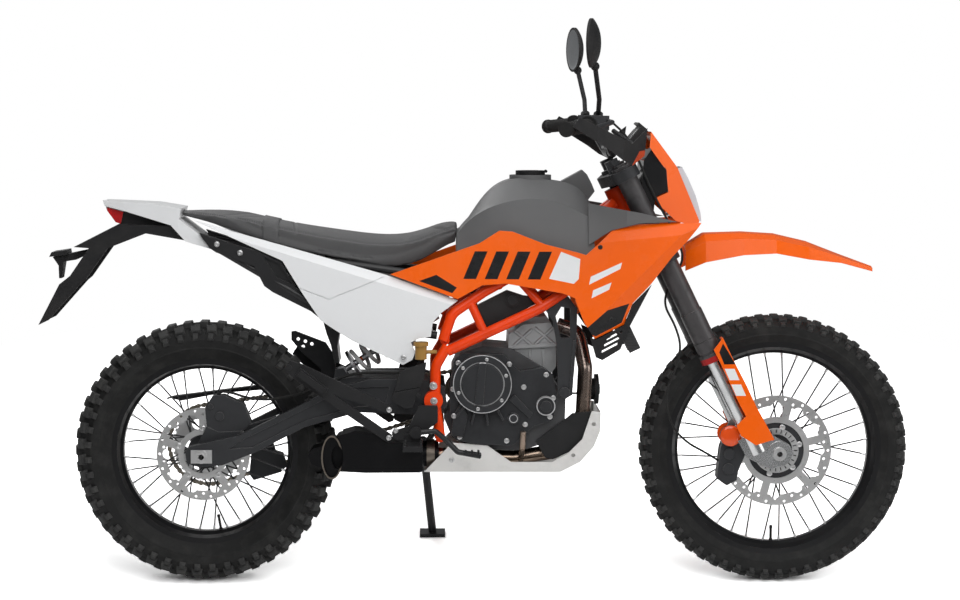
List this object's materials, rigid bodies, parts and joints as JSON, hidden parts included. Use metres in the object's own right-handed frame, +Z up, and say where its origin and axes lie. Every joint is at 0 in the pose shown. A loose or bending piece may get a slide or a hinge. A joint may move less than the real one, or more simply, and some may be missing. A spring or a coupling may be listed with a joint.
{
  "type": "dual sport motorcycle",
  "caption": "Road-legal enduro motorcycle, leaned on its side stand, with turning wheels, steering head, folding stand and hinged filler cap.",
  "frame": {"origin": "bottom centre of the bounding box of the machine leaned on its side stand", "axes": "+X forward, +Y to the rider's left, +Z up"},
  "size_m": [2.2495, 0.8535, 1.4838],
  "materials": {
    "orange_frame": "gloss",
    "orange_plastic": "gloss",
    "white_plastic": "gloss",
    "grey_plastic": "satin",
    "black_plastic": "matte",
    "black_metal": "satin",
    "black_alloy": "satin",
    "cast_alloy": "cast",
    "bright_alloy": "brushed",
    "steel": "brushed",
    "tyre": "matte",
    "rubber": "matte",
    "seat_cover": "matte",
    "red_lens": "gloss",
    "clear_lens": "gloss",
    "white_steel": "gloss",
    "amber": "gloss",
    "chrome": "polished"
  },
  "bodies": {
    "chassis": {"main_frame": "orange_frame", "engine_mounts": "black_alloy", "subframe": "black_metal", "crankcase": "cast_alloy", "engine_covers": "black_alloy", "cylinder": "cast_alloy", "cylinder_head": "cast_alloy", "exhaust_pipe": "steel", "swingarm": "black_alloy", "silencer": "black_metal", "shock_absorber": "steel", "shock_spring": "white_steel", "radiators": "black_alloy", "fuel_tank": "grey_plastic", "tank_shrouds": "orange_plastic", "radiator_guards": "black_plastic", "seat": "seat_cover", "side_panels": "white_plastic", "tail_cover": "white_plastic", "plate_carrier": "black_plastic", "tail_lamp": "red_lens", "skid_plate": "bright_alloy", "drive_chain": "steel", "footpegs": "black_metal", "foot_levers": "black_metal", "heel_guards": "grey_plastic", "fluid_reservoir": "amber", "canister": "grey_plastic", "horn": "black_plastic", "rear_caliper": "black_alloy", "rear_axle": "steel", "rear_brake_hose": "rubber", "stand_bracket": "black_metal"},
    "fuel_cap": {"fuel_cap": "black_plastic"},
    "side_stand": {"side_stand": "black_metal"},
    "steering": {"handlebar": "black_metal", "triple_clamps": "black_alloy", "fork_tubes": "black_alloy", "fork_sliders": "chrome", "fork_guards": "orange_plastic", "front_axle": "steel", "grips": "rubber", "hand_guards": "black_plastic", "hand_levers": "black_alloy", "mirrors": "black_plastic", "headlamp": "clear_lens", "headlamp_mask": "orange_plastic", "dash_display": "black_plastic", "front_fender": "orange_plastic", "front_caliper": "black_alloy", "front_brake_hose": "rubber"},
    "front_wheel": {"front_rim": "black_alloy", "front_tyre": "tyre", "front_hub": "black_alloy", "front_disc": "steel"},
    "rear_wheel": {"rear_rim": "black_alloy", "rear_tyre": "tyre", "rear_hub": "black_alloy", "rear_disc": "steel", "rear_sprocket": "steel"}
  },
  "joints": [
    {"name": "steering", "type": "hinge", "parent": "chassis", "child": "steering", "pos_m": [0.521, -0.08227, 0.6916], "axis": [-0.4384, 0.1561, 0.8851], "range_deg": [-40, 40]},
    {"name": "front_wheel_spin", "type": "hinge", "parent": "steering", "child": "front_wheel", "pos_m": [0.776, -0.1434, 0.34495], "axis": [0, 0.9848, -0.1736], "continuous": true},
    {"name": "rear_wheel_spin", "type": "hinge", "parent": "chassis", "child": "rear_wheel", "pos_m": [-0.7, -0.14487, 0.33658], "axis": [0, 0.9848, -0.1736], "continuous": true},
    {"name": "side_stand_fold", "type": "hinge", "parent": "chassis", "child": "side_stand", "pos_m": [-0.134, 0.0089, 0.2988], "axis": [0, 0.9659, 0.2588], "range_deg": [0, 95]},
    {"name": "fuel_cap_hinge", "type": "hinge", "parent": "chassis", "child": "fuel_cap", "pos_m": [0.183, -0.01889, 1.05106], "axis": [0, 0.9848, -0.1736], "range_deg": [0, 90]}
  ]
}
